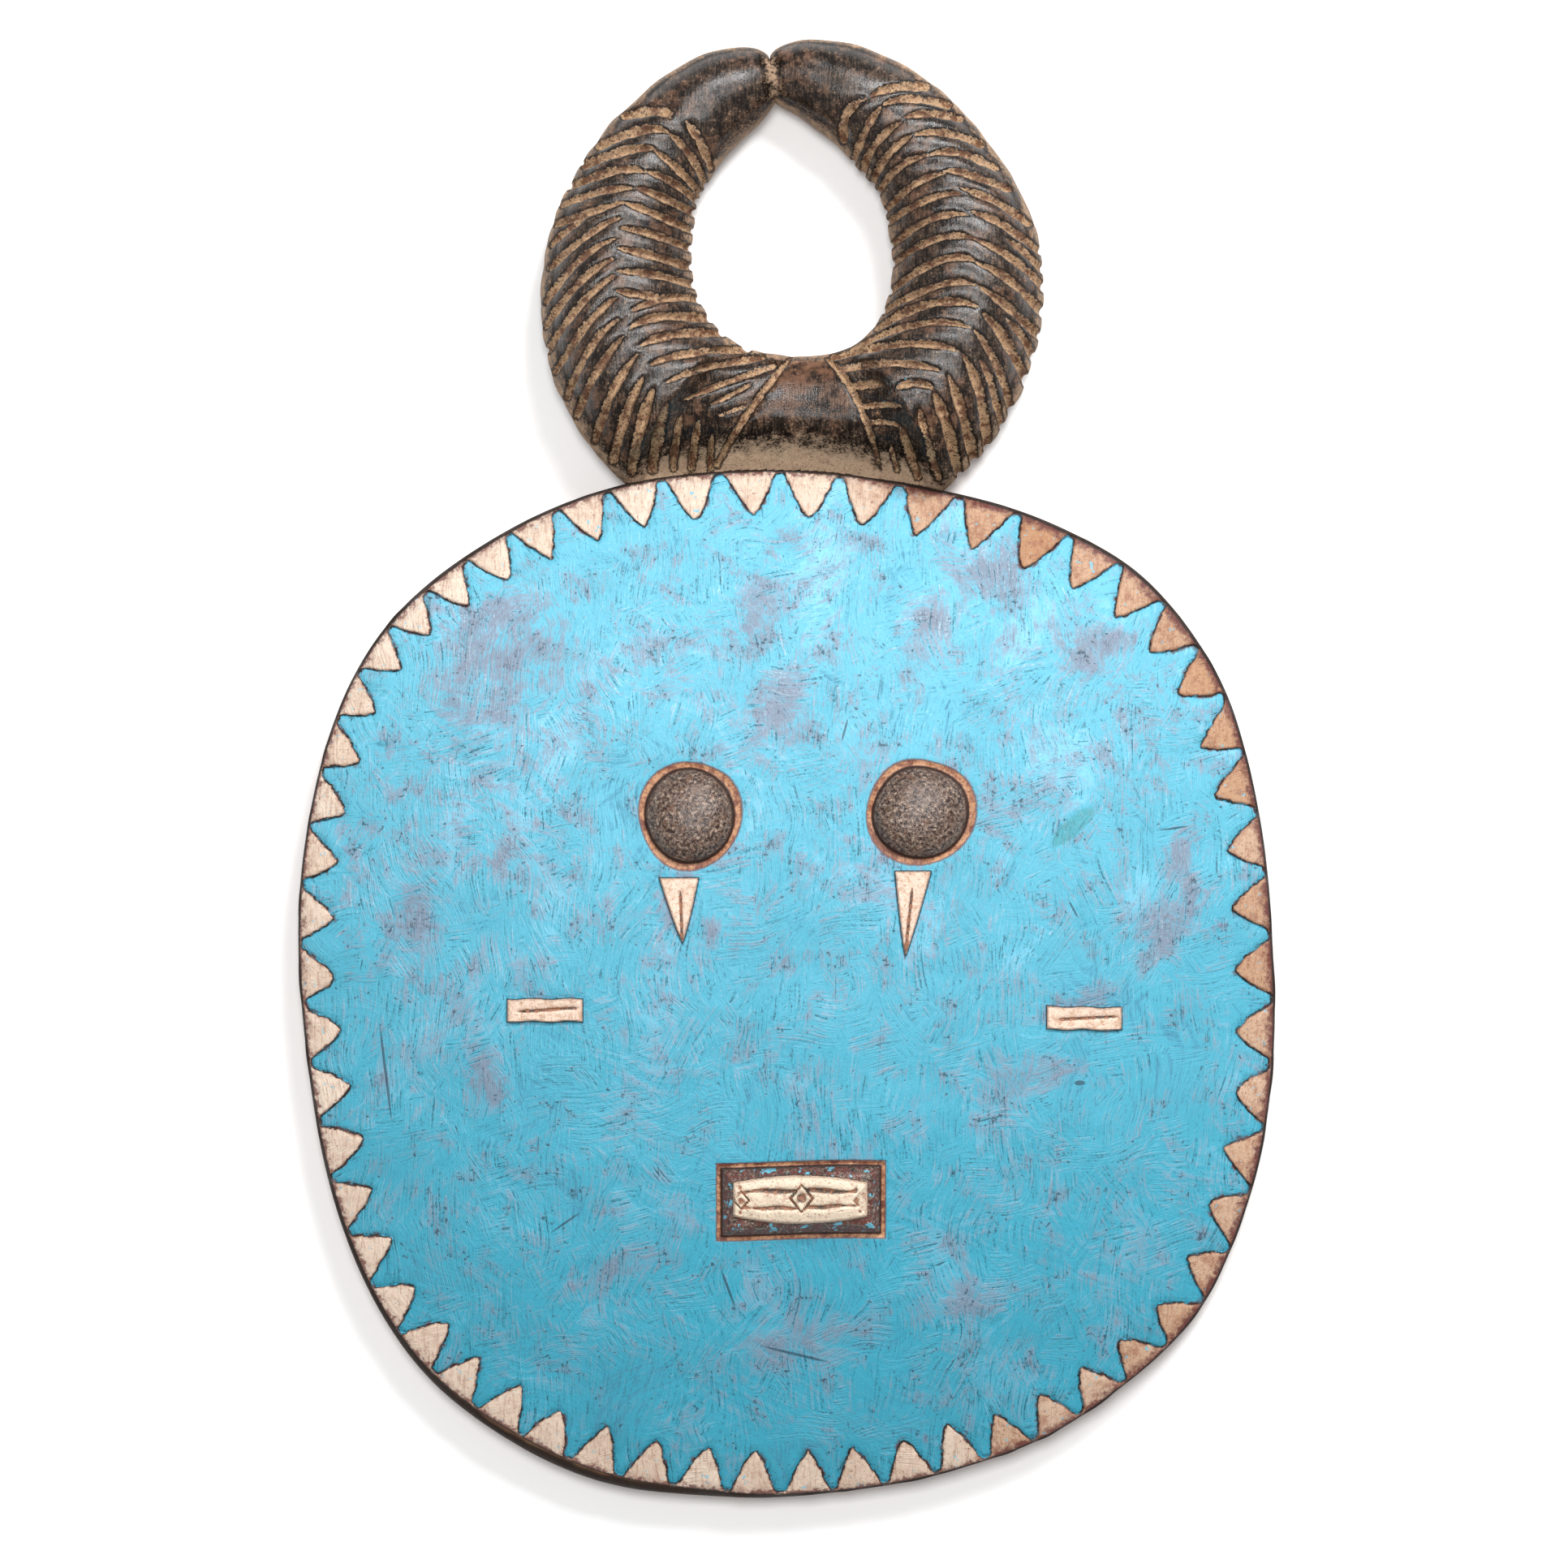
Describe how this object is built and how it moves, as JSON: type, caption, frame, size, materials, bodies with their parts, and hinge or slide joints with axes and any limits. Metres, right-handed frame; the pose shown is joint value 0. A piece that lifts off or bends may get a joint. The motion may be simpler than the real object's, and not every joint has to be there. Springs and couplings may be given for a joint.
{
  "type": "african wooden mask",
  "caption": "Round carved wooden face mask with a blue domed face, a toothed border and a ring of two curved horns, lying face up.",
  "frame": {"origin": "on the plane the mask lies on, under the middle of its box", "axes": "+Z out of the face, +Y up the face to the horns, +X to the right seen from the front"},
  "size_m": [0.4006, 0.5988, 0.0636],
  "materials": {
    "painted_wood": "hand-painted carved wood: blue face, cream teeth, dark waxed horns, bare wood in the cuts"
  },
  "bodies": {
    "root": {"mask": "painted_wood"}
  },
  "joints": []
}
